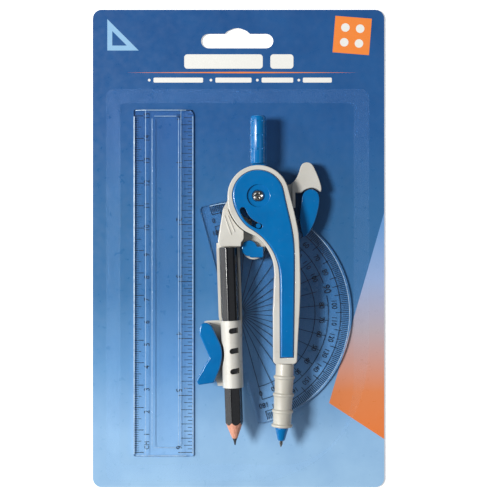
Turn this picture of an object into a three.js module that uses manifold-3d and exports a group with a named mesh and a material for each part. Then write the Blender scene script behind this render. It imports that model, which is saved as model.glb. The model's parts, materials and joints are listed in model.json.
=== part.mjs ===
// A school drafting set on its backing card: a ruler, a protractor and a self-centring compass with a pencil.
// Millimetres, +Z up. The card lies on its back with the middle of its rear face at the origin,
// +Y towards the hanging slot and +Z out of the printed face. The tools lie on the printed face.
import * as THREE from 'three';
import { mergeVertices } from 'three/addons/utils/BufferGeometryUtils.js';
import Module from 'manifold-3d';

const wasm = await Module();
wasm.setup();

// ---- driving dimensions ----
const CARD = { width: 130, height: 213, thickness: 0.7, corner: 4 };
const HANG = { x: -0.6, y: 92.5, halfWidth: 16.1, halfHeight: 3.2, humpHalf: 5.6, humpRise: 2.6 };
const RIM = { z0: 0.8, z1: 1.05 };
const FLANGE = {
  left: -59.1, bottom: -103.7, right: 58.2, top: 71.1, corner: 3.5,
  sweep: [[14.5, -103.7], [44, -96.5], [58.2, -74], [58.2, -40]],
};
const FLANGE_OPENING = {
  left: -52.9, bottom: -96.1, right: 51.4, top: 64.9, corner: 2.5,
  sweep: [[24, -96.1], [42, -93], [51.4, -78], [51.4, -58]],
};
const RULER = { x: -33.4, y: -15.3, width: 26.7, length: 154.4, z0: 0.8, z1: 2.8, edge: 0.9, bevel: 5.5 };
const CHANNEL = { x: -32.5, width: 11.4, y0: -88.3, y1: 58.6, depth: 0.5 };
const PROTRACTOR = { x: 0.1, y: -28.75, radius: 50, base: 4.9, z0: 1.2, z1: 2.7, tilt: -74.75 };

const PIVOT = new THREE.Vector2(8.71, 22.79);
const BORE = 1.65;
const HEAD_RADIUS = 13.3;
const PEG = { radius: 1.1, rest: 13.0, perRadian: 4.711, sweep: 47, slotHalf: 1.3, z0: 3.4, z1: 15.4 };

// Layers of the compass, from the card upwards.
const ARM = { z0: 3.1, z1: 6.8, boss: 12.6 };
const REAR_WASHER = { z0: 6.9, z1: 7.4 };
const BRACKET = { z0: 7.5, z1: 9.4 };
const FRONT_WASHER = { z0: 9.5, z1: 10.0 };
const REAR_SHELL = { z0: 10.1, z1: 12.9, keel: 6.9, keelTop: -12, wall: 1.4 };
const FRONT_SHELL = { z0: 13.0, z1: 15.6 };
const PANEL = {
  z0: 14.3, z1: 16.3, head: 11.2, dish: 4.9, dishFloor: 15.5, recess: 2.8, recessFloor: 15.0,
};

const TIP_Z = 11;
const NEEDLE_LEG = { x: 20.4, y: -49.4, tilt: -2.74 };
const PENCIL = {
  x: -4.3, y: 0.6, tilt: 1.94, flats: 6.95, turn: 17, painted: 77.3, wood: 83.7, length: 86.5, lead: 1.05,
};
const HOLDER = { top: 32, bottom: 61.1, halfX: 4.5, halfZ: 5.2, bore: 7.3 };
const HOLDER_BACK = { z0: 5.9, z1: 7.6 };
const WINDOW = { left: 0.25, right: 2.95, half: 1.2, slant: 0.12, downs: [4.4, 13.1, 21.9] };
const LEVER = { z0: 7.9, z1: 14.2, pinX: -9.9, pinY: -45.4 };
const HANDLE = { y0: 37.0, y1: 58.2, radius: 3.35, z: 9.5 };

// The foot of the main leg: a round spigot on the front shell, and the ringed grip that slides onto it.
const FOOT = { left: 15.2, right: 25.5, bottom: -50.0, corner: 1.6 };
const SPIGOT = { radius: 2.9, root: 5, length: 8 };
const SLEEVE = {
  bore: 3.2, waist: 3.9, belly: 4.15, ring: 4.6, top: -0.8, bottom: -28.6, lip: 3.4,
  rings: [28.0, 21.7, 14.5, 6.9],
};
const NEEDLE = { radius: 0.8, tip: -37.5, shoulder: -35.9, top: -14 };
const NOSE = { bottom: -34.5, top: -28.7, large: 2.8, small: 1.62 };

// The arm's head and the trough that the pencil lies in, drawn in the pencil's own frame.
const ARM_HEAD = { radius: 12.6, lobeX: 6.6, lobeY: 0.4, lobe: 5.2, recess: 3.9, recessTop: 5.3 };
const TROUGH = {
  left: -5.3, right: 4.9, leftWall: 1.2, rightWall: 0.9, top: 2, leftTop: -0.3, rightTop: -4.6, bottom: -30.6,
  rim: 9.5,
};
const BACK = { half: 4, bottom: -60.3, z1: 5.5 };
const WING = { z1: 8.4, from: 23.6 };
const LEAF = { z0: 4.9, z1: 8.8, seat: 4.6 };
const LEAF_NECK = { x0: 29, y0: 22, x1: 33, y1: 28 };
const BOSS_GAP = 0.35;
const RIDGE = { lines: [[-6.0, 14.2, -3.2, 6.2], [-4.5, 14.2, -1.7, 7.4]], half: 0.3, rise: 0.3 };
const INLAY = { x: 4.9, y: 0.1, radius: 3.5, end: 11.1, z1: 9.5 };

// ---- materials ----
const standard = (color, roughness, metalness = 0) =>
  new THREE.MeshStandardMaterial({ color, roughness, metalness });
const FINISH = {
  card: () => standard(0x3f6fb0, 0.45),
  film: () => standard(0xb9cbe2, 0.12),
  clear: () => standard(0xa9c0dc, 0.1),
  white: () => standard(0xd6d2c8, 0.4),
  blue: () => standard(0x0a6cb8, 0.3),
  steel: () => standard(0xb8babd, 0.3, 1),
  brass: () => standard(0xb59a5b, 0.35, 1),
  paint: () => standard(0x16171a, 0.35),
  wood: () => standard(0xd09a6c, 0.7),
  graphite: () => standard(0x3a3b3e, 0.5, 0.2),
};

// ---- outline helpers ----
const rad = THREE.MathUtils.degToRad;
const at = (x, y) => new THREE.Vector2(x, y);

function arc(x, y, radius, fromDegrees, toDegrees, steps) {
  const points = [];
  for (let i = 0; i <= steps; i += 1) {
    const angle = rad(fromDegrees + ((toDegrees - fromDegrees) * i) / steps);
    points.push(at(x + radius * Math.cos(angle), y + radius * Math.sin(angle)));
  }
  return points;
}

const circle = (x, y, radius, steps = 40) => arc(x, y, radius, 0, 360, steps).slice(0, -1);

function smooth(pairs, steps) {
  return new THREE.SplineCurve(pairs.map(([x, y]) => at(x, y))).getPoints(steps);
}

function bezier(pairs, steps) {
  return new THREE.CubicBezierCurve(...pairs.map(([x, y]) => at(x, y))).getPoints(steps);
}

// Joins stretches of points into one closed outline, without repeating the points that they share.
function outline(...stretches) {
  const points = [];
  for (const point of stretches.flat()) {
    if (points.length === 0 || point.distanceTo(points[points.length - 1]) > 0.02) points.push(point);
  }
  if (points[0].distanceTo(points[points.length - 1]) < 0.02) points.pop();
  return points;
}

// A closed outline of straight sides. Each corner is [x, y, cut], rounded off from that far before it.
function faceted(corners, steps = 5) {
  const points = corners.map(([x, y]) => at(x, y));
  const count = points.length;
  return outline(...points.map((point, i) => {
    const cut = corners[i][2];
    const before = points[(i + count - 1) % count].clone().sub(point).setLength(cut).add(point);
    const after = points[(i + 1) % count].clone().sub(point).setLength(cut).add(point);
    return new THREE.QuadraticBezierCurve(before, point, after).getPoints(steps);
  }));
}

function roundedBox(x0, y0, x1, y1, r, steps = 6) {
  return outline(
    arc(x0 + r, y0 + r, r, 180, 270, steps),
    arc(x1 - r, y0 + r, r, 270, 360, steps),
    arc(x1 - r, y1 - r, r, 0, 90, steps),
    arc(x0 + r, y1 - r, r, 90, 180, steps),
  );
}

// Moves every side of a counter-clockwise outline inwards by the distance, or outwards when it is negative.
function inset(points, distance) {
  const count = points.length;
  return points.map((point, i) => {
    const before = point.clone().sub(points[(i + count - 1) % count]).normalize();
    const after = points[(i + 1) % count].clone().sub(point).normalize();
    const middle = at(-before.y - after.y, before.x + after.x).normalize();
    const stretch = Math.max(0.5, middle.dot(at(-before.y, before.x)));
    return point.clone().addScaledVector(middle, distance / stretch);
  });
}

// A slot of constant width with round ends that follows a line of points.
function slotAlong(points, half, capSteps = 6) {
  const sides = { left: [], right: [] };
  const directions = points.map((point, i) => {
    const next = points[Math.min(i + 1, points.length - 1)];
    return next.clone().sub(points[Math.max(i - 1, 0)]).normalize();
  });
  points.forEach((point, i) => {
    const normal = at(-directions[i].y, directions[i].x);
    sides.left.push(point.clone().addScaledVector(normal, half));
    sides.right.push(point.clone().addScaledVector(normal, -half));
  });
  const cap = (index) => {
    const angle = THREE.MathUtils.radToDeg(directions[index].angle());
    const start = index === 0 ? angle + 90 : angle - 90;
    return arc(points[index].x, points[index].y, half, start, start + 180, capSteps);
  };
  return outline(sides.right, cap(points.length - 1), sides.left.reverse(), cap(0));
}

// ---- solid helpers ----
// A closed geometry as a manifold solid: shared corners are merged and needle-thin triangles dropped.
function toSolid(geometry) {
  geometry.deleteAttribute('normal');
  geometry.deleteAttribute('uv');
  const merged = mergeVertices(geometry, 1e-4);
  const index = merged.index.array;
  const triangles = [];
  for (let i = 0; i < index.length; i += 3) {
    const [a, b, c] = [index[i], index[i + 1], index[i + 2]];
    if (a !== b && b !== c && c !== a) triangles.push(a, b, c);
  }
  return new wasm.Manifold(new wasm.Mesh({
    numProp: 3,
    vertProperties: new Float32Array(merged.attributes.position.array),
    triVerts: new Uint32Array(triangles),
  }));
}

function plateGeometry(points, z0, z1, holes = []) {
  const shape = new THREE.Shape(points);
  shape.holes = holes.map((hole) => new THREE.Path(hole));
  const geometry = new THREE.ExtrudeGeometry(shape, { depth: z1 - z0, bevelEnabled: false });
  return geometry.translate(0, 0, z0);
}

const plate = (points, z0, z1, holes = []) => toSolid(plateGeometry(points, z0, z1, holes));
const post = (x, y, radius, z0, z1, steps = 32) => plate(circle(x, y, radius, steps), z0, z1);

function box(x0, y0, z0, x1, y1, z1) {
  const geometry = new THREE.BoxGeometry(x1 - x0, y1 - y0, z1 - z0);
  return toSolid(geometry.translate((x0 + x1) / 2, (y0 + y1) / 2, (z0 + z1) / 2));
}

// A turned solid about the Y axis. The profile lists [radius, height] pairs from its lowest end upwards.
function turned(profile, steps = 32) {
  return toSolid(new THREE.LatheGeometry(profile.map(([r, y]) => at(r, y)), steps));
}

// A turned solid with a bore: the profile closes on itself.
const turnedRing = (profile, steps = 32) => turned([...profile, profile[0]], steps);

// A plate geometry stood on edge, so that what was drawn in X and Y lies in X and Z and it runs down -Y.
function stood(points, y0, y1, holes = []) {
  const geometry = plateGeometry(points, -y0, -y1, holes);
  return geometry.rotateX(Math.PI / 2);
}

const set = new THREE.Group();

function addPiece(parent, name, solid, material) {
  const raw = solid.getMesh();
  const geometry = new THREE.BufferGeometry();
  geometry.setAttribute('position', new THREE.BufferAttribute(new Float32Array(raw.vertProperties), 3));
  geometry.setIndex(new THREE.BufferAttribute(new Uint32Array(raw.triVerts), 1));
  geometry.computeVertexNormals();
  const mesh = new THREE.Mesh(geometry, material);
  mesh.name = name;
  parent.add(mesh);
  return mesh;
}

// A group whose local Y axis runs up one of the two legs, at the height of the points.
function legGroup({ x, y, tilt }) {
  const group = new THREE.Group();
  group.position.set(x, y, TIP_Z);
  group.rotation.z = rad(tilt);
  set.add(group);
  return group;
}

// ---- backing card and the flange left by the clear cover ----
function hangingSlot() {
  const { x, y, halfWidth, halfHeight, humpHalf, humpRise } = HANG;
  const top = y + halfHeight;
  const hump = smooth([
    [x + humpHalf, top], [x + humpHalf * 0.7, top + humpRise * 0.55], [x, top + humpRise],
    [x - humpHalf * 0.7, top + humpRise * 0.55], [x - humpHalf, top],
  ], 10);
  return outline(
    arc(x + halfWidth - halfHeight, y, halfHeight, -90, 90, 8),
    hump,
    arc(x - halfWidth + halfHeight, y, halfHeight, 90, 270, 8),
  );
}

function backingCard() {
  const { width, height, thickness, corner } = CARD;
  const edge = roundedBox(-width / 2, -height / 2, width / 2, height / 2, corner);
  return plate(edge, 0, thickness, [hangingSlot()]);
}

function coverOutline({ left, bottom, right, top, corner, sweep }) {
  return outline(
    arc(left + corner, bottom + corner, corner, 180, 270, 5),
    bezier(sweep, 14),
    arc(right - corner, top - corner, corner, 0, 90, 5),
    arc(left + corner, top - corner, corner, 90, 180, 5),
  );
}

const blisterRim = () => plate(coverOutline(FLANGE), RIM.z0, RIM.z1, [coverOutline(FLANGE_OPENING)]);

// ---- ruler: bevelled on both long edges, with a shallow channel down the middle ----
function rulerSolid() {
  const { x, y, width, length, z0, z1, edge, bevel } = RULER;
  const half = width / 2;
  const section = [
    at(x - half, z0), at(x + half, z0), at(x + half, z0 + edge), at(x + half - bevel, z1),
    at(x - half + bevel, z1), at(x - half, z0 + edge),
  ];
  const top = y + length / 2;
  const bottom = y - length / 2;
  const bar = toSolid(stood(section, top, bottom));
  const corners = outline(
    arc(x - half + 0.8, bottom + 0.8, 0.8, 180, 270, 3),
    arc(x + half - 0.8, bottom + 0.8, 0.8, 270, 360, 3),
    arc(x + half - 3, top - 3, 3, 0, 90, 6),
    arc(x - half + 0.8, top - 0.8, 0.8, 90, 180, 3),
  );
  const channel = roundedBox(
    CHANNEL.x - CHANNEL.width / 2, CHANNEL.y0, CHANNEL.x + CHANNEL.width / 2, CHANNEL.y1, 1,
  );
  return bar
    .intersect(plate(corners, z0 - 1, z1 + 1))
    .subtract(plate(channel, z1 - CHANNEL.depth, z1 + 1));
}

// ---- protractor: a half disc and the strip below its base line ----
function protractorSolid() {
  const { radius, base, z0, z1 } = PROTRACTOR;
  const edge = outline(
    arc(-radius + 1.5, -base + 1.5, 1.5, 180, 270, 4),
    arc(radius - 1.5, -base + 1.5, 1.5, 270, 360, 4),
    arc(0, 0, radius, 0, 180, 72),
  );
  const bevelled = inset(edge, 0.5);
  return plate(edge, z0, z1 - 0.4).add(plate(bevelled, z1 - 0.5, z1));
}

// ---- main leg ----
const legOutline = outline(
  arc(FOOT.left + FOOT.corner, FOOT.bottom + FOOT.corner, FOOT.corner, 180, 270, 5),
  arc(FOOT.right - FOOT.corner, FOOT.bottom + FOOT.corner, FOOT.corner, 270, 360, 5),
  smooth([
    [FOOT.right, FOOT.bottom + FOOT.corner], [26.0, -37.1], [26.7, -24.8], [26.9, -13.3], [26.3, 4.4],
    [25.05, 12.2], [23.2, 20.1],
    [PIVOT.x + HEAD_RADIUS * Math.cos(rad(10)), PIVOT.y + HEAD_RADIUS * Math.sin(rad(10))],
  ], 20),
  arc(PIVOT.x, PIVOT.y, HEAD_RADIUS, 10, 180, 22),
  smooth([
    [PIVOT.x - HEAD_RADIUS, PIVOT.y], [-4.5, 19.6], [-3.4, 15.2], [-0.5, 10.6], [2.9, 7.6], [7.7, 5.2],
    [10.8, 2.4], [13.4, -1.5], [15.2, -6.2], [15.7, -11.5],
  ], 26),
  [at(15.1, -27)],
);

const panelOutline = outline(
  [at(18.3, -47.2), at(24.0, -47.2)],
  smooth([
    [24.0, -47.2], [24.3, -25], [24.4, -2], [23.5, 7.5], [22.2, 13.8], [20.6, 20.7],
    [PIVOT.x + PANEL.head * Math.cos(rad(14)), PIVOT.y + PANEL.head * Math.sin(rad(14))],
  ], 18),
  arc(PIVOT.x, PIVOT.y, PANEL.head, 14, 180, 20),
  smooth([
    [PIVOT.x - PANEL.head, PIVOT.y], [-1.7, 18.6], [0.5, 13.8], [3.6, 9.9], [7.7, 7.1], [11.2, 4.2],
    [14.7, -0.4], [16.8, -5.1], [17.8, -9.6], [18.1, -15],
  ], 24),
);

// The centre line of the guide slot. The peg's radius falls evenly as the handle turns, and the arm's
// slot is the leg's mirror image, so the handle always halves the angle between the legs.
function camPath(side) {
  const points = [];
  for (let degrees = -2; degrees <= PEG.sweep; degrees += 3.5) {
    const radius = PEG.rest - PEG.perRadian * rad(degrees);
    const angle = rad(-90 + side * degrees);
    points.push(at(PIVOT.x + radius * Math.cos(angle), PIVOT.y + radius * Math.sin(angle)));
  }
  return points;
}

const pegSlot = (side, z0, z1) => plate(slotAlong(camPath(side), PEG.slotHalf), z0, z1);
const LEG_SIDE = -1;
const ARM_SIDE = 1;

function rearShell() {
  const { z0, z1, keel, keelTop, wall } = REAR_SHELL;
  const below = (y, z) => box(-50, -60, z, 60, y, z1 + 1);
  const cavityOutline = inset(legOutline, wall);
  const upperCavity = plate(cavityOutline, z0 + wall, z1 + 1).intersect(below(3, z0));
  const lowerCavity = plate(cavityOutline, keel + wall, z1 + 1).intersect(below(keelTop - wall, keel));
  const keelBlock = plate(legOutline, keel, z1).intersect(below(keelTop, keel));
  return plate(legOutline, z0, z1)
    .add(keelBlock)
    .subtract(upperCavity)
    .subtract(lowerCavity)
    .subtract(spigot(SPIGOT.radius + 0.3, SPIGOT.root + 0.4))
    .subtract(post(PIVOT.x, PIVOT.y, BORE, z0 - 1, z1 + 1))
    .subtract(pegSlot(LEG_SIDE, z0 - 1, z1 + 1));
}

function spigot(radius, root) {
  const geometry = new THREE.CylinderGeometry(radius, radius, root + SPIGOT.length, 32);
  geometry.translate(0, (root - SPIGOT.length) / 2, 0);
  geometry.rotateZ(rad(NEEDLE_LEG.tilt));
  geometry.translate(NEEDLE_LEG.x, NEEDLE_LEG.y, TIP_Z);
  return toSolid(geometry);
}

function frontShell() {
  const { z0, z1 } = FRONT_SHELL;
  return plate(legOutline, z0, z1)
    .add(spigot(SPIGOT.radius, SPIGOT.root))
    .subtract(plate(inset(panelOutline, -0.15), PANEL.z0 - 0.1, z1 + 1))
    .subtract(post(PIVOT.x, PIVOT.y, BORE, z0 - 1, z1 + 1))
    .subtract(pegSlot(LEG_SIDE, z0 - 1, z1 + 1));
}

function legPanel() {
  const { z0, z1, dish, dishFloor, recess, recessFloor } = PANEL;
  return plate(panelOutline, z0, z1)
    .subtract(post(PIVOT.x, PIVOT.y, dish, dishFloor, z1 + 1, 40))
    .subtract(post(PIVOT.x, PIVOT.y, recess, recessFloor, z1 + 1))
    .subtract(post(PIVOT.x, PIVOT.y, BORE, z0 - 1, z1 + 1))
    .subtract(pegSlot(LEG_SIDE, z0 - 1, z1 + 1));
}

// ---- pivot: cross-head screw, nut and friction washers ----
const SCREW = { head: 2.4, shank: 1.45, seat: PANEL.recessFloor + 0.1, top: 16.2, foot: 3.5 };

function pivotScrew() {
  const { head, shank, seat, top, foot } = SCREW;
  const rise = top - seat;
  const body = new THREE.LatheGeometry([
    at(0, foot), at(shank, foot), at(shank, seat), at(head, seat), at(head, seat + 0.45 * rise),
    at(head * 0.8, seat + 0.85 * rise), at(head * 0.5, top), at(0, top),
  ], 28);
  const solid = toSolid(body.rotateX(Math.PI / 2).translate(PIVOT.x, PIVOT.y, 0));
  const bar = (length, width) => box(
    PIVOT.x - length / 2, PIVOT.y - width / 2, seat + 0.25,
    PIVOT.x + length / 2, PIVOT.y + width / 2, top + 1,
  );
  return solid.subtract(bar(2.6, 0.6)).subtract(bar(0.6, 2.6));
}

const ring = (outer, inner, z0, z1, steps = 32) =>
  plate(circle(PIVOT.x, PIVOT.y, outer, steps), z0, z1, [circle(PIVOT.x, PIVOT.y, inner, 28)]);

// ---- handle: a flat bracket between the legs and a round grip above them ----
const NECK = { half: 2.6, end: 19 };
const TONGUE = { half: 2.9, end: 15 };

function handleBracket() {
  const { z0, z1 } = BRACKET;
  const neck = roundedBox(PIVOT.x - NECK.half, PIVOT.y, PIVOT.x + NECK.half, PIVOT.y + NECK.end, 0.6, 3);
  const tongue = roundedBox(
    PIVOT.x - TONGUE.half, PIVOT.y - TONGUE.end, PIVOT.x + TONGUE.half, PIVOT.y, 1, 4,
  );
  const radialSlot = slotAlong([at(PIVOT.x, PIVOT.y - 9.2), at(PIVOT.x, PIVOT.y - 12.9)], PEG.slotHalf);
  return post(PIVOT.x, PIVOT.y, 10.6, z0, z1, 44)
    .add(plate(neck, z0, z1))
    .add(plate(tongue, z0, z1))
    .subtract(post(PIVOT.x, PIVOT.y, BORE, z0 - 1, z1 + 1))
    .subtract(plate(radialSlot, z0 - 1, z1 + 1));
}

function handleGrip() {
  const { y0, y1, radius, z } = HANDLE;
  const body = new THREE.LatheGeometry([
    at(0, y0), at(radius - 0.5, y0), at(radius, y0 + 0.5), at(radius, y1 - 0.7), at(radius - 0.7, y1),
    at(0, y1),
  ], 36);
  const socketTop = PIVOT.y + NECK.end + 0.3;
  const socketHalf = NECK.half + 0.2;
  return toSolid(body.translate(PIVOT.x, 0, z)).subtract(box(
    PIVOT.x - socketHalf, y0 - 1, BRACKET.z0 - 0.2,
    PIVOT.x + socketHalf, socketTop, BRACKET.z1 + 0.2,
  ));
}

// ---- arm: head plate, trough behind the pencil, and the tail wing on the far side ----
const leafOutline = outline(smooth([
  [28.6, 5.0], [30.7, 6.5], [33.3, 11.2], [34.9, 16.5], [35.6, 21.4], [34.7, 24.7], [32.0, 26.0],
  [29.4, 25.0], [28.1, 22.9], [27.6, 19.2], [27.1, 15.0], [27.2, 10.0], [28.6, 5.0],
], 34));

const wingOutline = outline(
  [at(17, 17.8), at(25.1, 17.8), at(25.1, 24.6)],
  smooth([
    [25.1, 24.6], [27.6, 24.5], [29.2, 25.7], [32.0, 26.6], [34.4, 26.2], [36.2, 24.9], [36.5, 27.0],
    [35.3, 31.0], [33.4, 35.4], [31.9, 37.4], [30.2, 37.9], [28.6, 37.5], [27.5, 36.2], [26.6, 33.2],
    [25.2, 30.4], [22.8, 28.1],
  ], 34),
  [at(17, 28.1)],
);

const armHeadOutline = [
  at(-6.8, 17.4), at(-9.0, 3.6), at(-8.7, 1.7), at(-7.7, 0.9), at(4, 0.9), at(13, 2), at(20, 18),
  at(12, 34), at(0, 30),
];
const bossOutline = [
  at(-6.5, 17.2), at(-8.7, 3.4), at(-8.4, 1.7), at(-7.5, 0.9),
  at(1.1, 0.9), at(1.3, 2.6), at(2.4, 4.1), at(2.4, 9),
  at(-2.5, 17.2),
];
const leafSeatOutline = outline(smooth([
  [29.4, 8.4], [31.4, 11.0], [33.2, 16.5], [34.0, 21.4], [32.0, 24.6], [29.8, 23.6], [28.7, 19.0],
  [28.3, 14.0], [28.5, 10.2], [29.4, 8.4],
], 22));

// A plate drawn in the pencil's own frame, where Y runs up the pencil and X across it.
function alongPencil(points, z0, z1) {
  const geometry = plateGeometry(points, z0, z1);
  geometry.rotateZ(rad(PENCIL.tilt));
  geometry.translate(PENCIL.x, PENCIL.y, 0);
  return toSolid(geometry);
}

const quad = (x0, x1, y0, y1) => [at(x0, y0), at(x1, y0), at(x1, y1), at(x0, y1)];

// The raised block beside the head, with two low ridges on top. It stays clear of the main leg.
function armBoss() {
  const { z1, boss } = ARM;
  const block = plate(bossOutline, z1 - 0.1, boss)
    .subtract(plate(inset(legOutline, -BOSS_GAP), z1 + 0.1, boss + 1));
  return RIDGE.lines.reduce((solid, [x0, y0, x1, y1]) => solid.add(
    plate(slotAlong([at(x0, y0), at(x1, y1)], RIDGE.half), boss - 0.1, boss + RIDGE.rise),
  ), block);
}

function armTrough() {
  const { left, right, leftWall, rightWall, top, leftTop, rightTop, bottom, rim } = TROUGH;
  const { z0, z1 } = ARM;
  const back = [at(-BACK.half, BACK.bottom), at(BACK.half, BACK.bottom), at(right, bottom), at(left, bottom)];
  return alongPencil(quad(left, right, bottom, top), z0, z1 - 0.1)
    .add(alongPencil(quad(left, left + leftWall, bottom, leftTop), z1 - 0.2, rim))
    .add(alongPencil(quad(right - rightWall, right, bottom, rightTop), z1 - 0.2, rim))
    .add(alongPencil(back, z0, BACK.z1));
}

function armTail() {
  const { z0, z1 } = ARM;
  return plate(wingOutline, z0, z1)
    .add(plate(inset(wingOutline, 0.05), z1 - 0.1, WING.z1).intersect(box(WING.from, 0, 0, 60, 60, 20)))
    .add(plate(leafSeatOutline, z0, LEAF.seat))
    .add(box(LEAF_NECK.x0, LEAF_NECK.y0, z0, LEAF_NECK.x1, LEAF_NECK.y1, LEAF.seat));
}

function armPlate() {
  const { z0, z1 } = ARM;
  const { radius, lobeX, lobeY, lobe, recess, recessTop } = ARM_HEAD;
  return post(PIVOT.x, PIVOT.y, radius, z0, z1, 44)
    .add(plate(armHeadOutline, z0, z1))
    .add(post(lobeX, lobeY, lobe, z0, z1, 24))
    .add(armBoss())
    .add(armTrough())
    .add(armTail())
    .subtract(post(PIVOT.x, PIVOT.y, BORE, z0 - 1, z1 + 1))
    .subtract(post(PIVOT.x, PIVOT.y, recess, z0 - 1, recessTop))
    .subtract(pegSlot(ARM_SIDE, z0 - 1, z1 + 1));
}

function armInlay() {
  const { x, y, radius, end, z1 } = INLAY;
  const tail = roundedBox(x, -4.0, end, 0.9, 0.8, 3);
  return post(x, y, radius, ARM.z1 + 0.1, z1, 28).add(plate(tail, ARM.z1 + 0.1, z1));
}

// ---- pencil holder and its clamp ----
const leverOutline = faceted([
  [-6.75, -46.4, 2.2], [-7.3, -42.3, 1.8], [-11.7, -33.3, 1.0], [-13.4, -32.3, 0.8], [-16.1, -32.6, 1.1],
  [-17.2, -36.5, 1.8], [-12.4, -47.4, 0.7], [-18.2, -57.2, 0.9], [-17.2, -59.3, 0.8], [-10.5, -58.3, 0.8],
  [-7.8, -51.8, 1.8],
]);

// A hexagon whose front corner is turned a little to the left.
const hexagon = (flats) => arc(0, 0, flats / Math.sqrt(3), 30 + PENCIL.turn, 330 + PENCIL.turn, 5);

function pencilHolder() {
  const { top, bottom, halfX, halfZ, bore } = HOLDER;
  const oval = circle(0, 0, halfX, 44).map((point) => at(point.x, (point.y * halfZ) / halfX));
  const tube = toSolid(stood(oval, -top, -bottom));
  const channel = toSolid(stood(hexagon(bore), -top + 1, -bottom - 1));
  const { left, right, half, slant, downs } = WINDOW;
  const bullet = outline(arc(left, 0, half, 90, 270, 10), [at(right, -half), at(right, half)])
    .map((point) => at(point.x, point.y + point.x * slant));
  const windows = downs.map((down) => plate(bullet, 0.5, halfZ + 1).translate(0, -top - down, 0));
  const toFrame = (solid) => {
    const tilt = new THREE.Matrix4().makeRotationZ(rad(PENCIL.tilt));
    tilt.setPosition(PENCIL.x, PENCIL.y, TIP_Z);
    return solid.transform(tilt.elements);
  };
  const backPlate = outline(
    [at(-9.0, -60.4), at(-5.0, -60.4), at(-4.6, -31.7)],
    smooth([
      [-9.0, -31.6], [-14.3, -31.9], [-15.0, -33.4], [-13.6, -36.5], [-12.6, -45.4], [-12.4, -49.0],
    ], 12),
  );
  const pencilBore = toFrame(channel);
  let holder = toFrame(tube).add(plate(backPlate, HOLDER_BACK.z0, HOLDER_BACK.z1)).subtract(pencilBore);
  for (const window of windows) holder = holder.subtract(toFrame(window));
  return holder
    .subtract(plate(inset(leverOutline, -0.9), LEVER.z0 - 0.3, LEVER.z1 + 4))
    .subtract(post(LEVER.pinX, LEVER.pinY, 1.1, 5, 8, 20));
}

function clampLever() {
  return plate(leverOutline, LEVER.z0, LEVER.z1)
    .subtract(post(LEVER.pinX, LEVER.pinY, 1.1, LEVER.z0 - 1, 12.8, 20));
}

// ---- pencil: hexagonal painted casing, sharpened point and lead ----
function pencilCasing() {
  const hex = toSolid(stood(hexagon(PENCIL.flats), 0, -PENCIL.painted));
  return hex.subtract(toSolid(stood(circle(0, 0, PENCIL.lead + 0.1, 20), 1, -PENCIL.painted - 1)));
}

const pencilPoint = () => turnedRing([
  [PENCIL.lead + 0.1, -PENCIL.wood], [PENCIL.lead + 0.35, -PENCIL.wood],
  [PENCIL.flats / 2 - 0.1, -PENCIL.painted - 0.15], [PENCIL.lead + 0.1, -PENCIL.painted - 0.15],
]);

const pencilLead = () => turned([
  [0, -PENCIL.length], [0.45, -PENCIL.length + 0.25], [PENCIL.lead, -PENCIL.wood], [PENCIL.lead, -0.1],
  [0, -0.1],
], 20);

// ---- needle end: ringed grip, chuck, nose cone and needle ----
function gripSleeve() {
  const { bore, waist, belly, ring: wide, top, bottom, lip, rings } = SLEEVE;
  const outer = rings.flatMap((down, i) => [
    [i === 0 ? lip : belly, -down - 0.6], [wide, -down - 0.35], [wide, -down + 0.6], [waist, -down + 1.0],
  ]);
  return turnedRing([[bore, bottom], ...outer, [waist, top], [bore, top]], 36);
}

const needleChuck = () => turnedRing([
  [NEEDLE.radius + 0.1, -31.1], [1.55, -31.1], [1.55, -28.4], [3.0, -28.4], [3.0, -8.3],
  [NEEDLE.radius + 0.1, -8.3],
], 28);

function noseCone() {
  const { bottom, top, large, small } = NOSE;
  const bore = NEEDLE.radius + 0.15;
  return turnedRing([
    [bore, bottom], [small - 0.3, bottom], [small, bottom + 0.4], [large, top - 0.6], [large, top],
    [1.7, top], [1.7, -31.3], [bore, -31.3],
  ], 28);
}

function needle() {
  const { radius, tip, shoulder, top } = NEEDLE;
  return turned([[0, tip], [0.22, tip + 0.25], [radius, shoulder], [radius, top], [0, top]], 20);
}

// ---- assembly ----
addPiece(set, 'backing_card', backingCard(), FINISH.card());
addPiece(set, 'blister_rim', blisterRim(), FINISH.film());
addPiece(set, 'ruler', rulerSolid(), FINISH.clear());

const protractorGroup = new THREE.Group();
protractorGroup.position.set(PROTRACTOR.x, PROTRACTOR.y, 0);
protractorGroup.rotation.z = rad(PROTRACTOR.tilt);
set.add(protractorGroup);
addPiece(protractorGroup, 'protractor', protractorSolid(), FINISH.clear());

addPiece(set, 'leg_rear_shell', rearShell(), FINISH.white());
addPiece(set, 'leg_front_shell', frontShell(), FINISH.white());
addPiece(set, 'leg_panel', legPanel(), FINISH.blue());
addPiece(set, 'pivot_screw', pivotScrew(), FINISH.steel());
addPiece(set, 'pivot_nut', ring(3.3, 1.55, 3.4, 5.2, 6), FINISH.steel());
addPiece(set, 'rear_washer', ring(4.2, 1.6, REAR_WASHER.z0, REAR_WASHER.z1), FINISH.steel());
addPiece(set, 'front_washer', ring(4.2, 1.6, FRONT_WASHER.z0, FRONT_WASHER.z1), FINISH.steel());

addPiece(set, 'handle_bracket', handleBracket(), FINISH.blue());
addPiece(set, 'handle_grip', handleGrip(), FINISH.blue());
addPiece(set, 'guide_peg', post(PIVOT.x, PIVOT.y - PEG.rest, PEG.radius, PEG.z0, PEG.z1, 24), FINISH.blue());

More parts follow.
